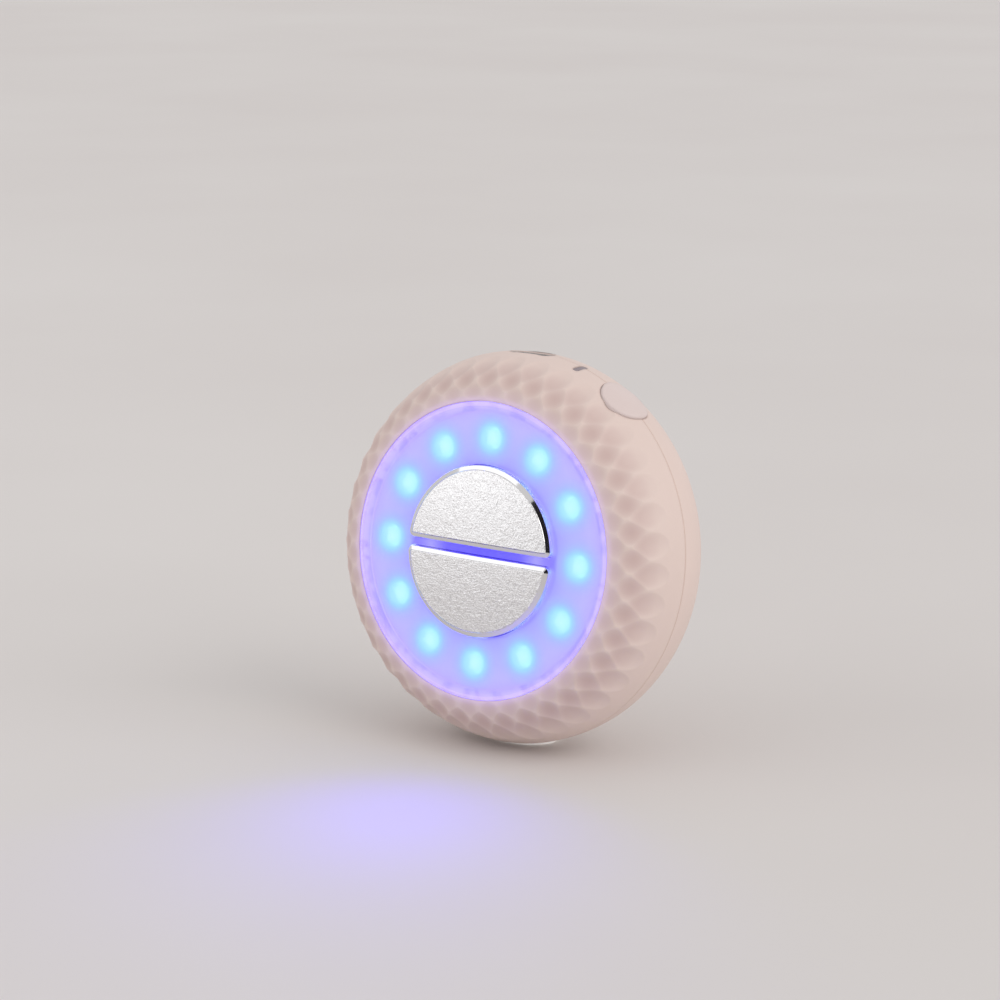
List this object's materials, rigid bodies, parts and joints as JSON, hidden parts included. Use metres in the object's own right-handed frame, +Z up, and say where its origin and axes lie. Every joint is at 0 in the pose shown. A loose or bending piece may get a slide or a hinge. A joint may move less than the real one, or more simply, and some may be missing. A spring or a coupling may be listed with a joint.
{
  "type": "led facial massager",
  "caption": "Round handheld face massager with a lit translucent lens, two half-disc electrodes, a faceted rim, a power button and a charging socket.",
  "frame": {"origin": "on the stand pad's flat sole, straight below the point where the device's axis crosses its seam plane", "axes": "+Z up, +X to the right as seen by someone facing the lit face, -Y towards that person; the device leans back 8 degrees, so its lit face looks along -Y and slightly up"},
  "size_m": [0.072, 0.0379, 0.072],
  "materials": {
    "blush_shell": "satin",
    "blush_button": "satin",
    "grey_silicone": "matte",
    "clear_silicone": "satin",
    "lit_lens": "satin",
    "white_plastic": "matte",
    "board_white": "matte",
    "board_green": "satin",
    "lamp_blue": "gloss",
    "screw_steel": "satin",
    "screw_brass": "satin",
    "electrode_metal": "satin",
    "black_plastic": "matte",
    "switch_steel": "satin",
    "smoked_lens": "gloss",
    "battery_foil": "satin",
    "foam": "matte",
    "lead_red": "satin",
    "black_rubber": "matte"
  },
  "bodies": {
    "casing": {"front_shell": "blush_shell", "rear_shell": "blush_shell", "seam_seal": "grey_silicone", "stand_pad": "clear_silicone", "face_lens": "lit_lens", "lens_gasket": "grey_silicone", "light_reflector": "white_plastic", "led_board": "board_white", "led_chips": "lamp_blue", "face_screws": "screw_steel", "upper_electrode": "electrode_metal", "lower_electrode": "electrode_metal", "electrode_screws": "screw_brass", "tact_switch": "switch_steel", "side_board": "board_green", "side_pins": "screw_brass", "indicator_led": "white_plastic", "indicator_lens": "smoked_lens", "charging_socket": "screw_steel", "socket_tongue": "black_plastic", "chassis": "white_plastic", "frame_screws": "screw_steel", "main_board": "board_green", "board_screws": "screw_steel", "control_chips": "black_plastic", "boost_coil": "black_plastic", "pulse_transformer": "black_plastic", "pin_header": "black_plastic", "battery_cell": "battery_foil", "battery_pad": "foam", "battery_leads": "lead_red", "motor_case": "screw_steel", "motor_mount": "black_rubber", "motor_leads": "lead_red"},
    "button": {"power_button": "blush_button", "switch_plunger": "black_plastic"},
    "rotor": {"motor_shaft": "screw_steel", "eccentric_weight": "screw_brass"}
  },
  "joints": [
    {"name": "button_press", "type": "slide", "parent": "casing", "child": "button", "axis": [-0.5736, -0.114, -0.8112], "range_m": [0, 0.0004], "stiffness_N_per_m": 800, "springref_m": -0.001},
    {"name": "motor_spin", "type": "hinge", "parent": "casing", "child": "rotor", "pos_m": [0, 0.01086, 0.04898], "axis": [1, 0, 0], "continuous": true}
  ]
}
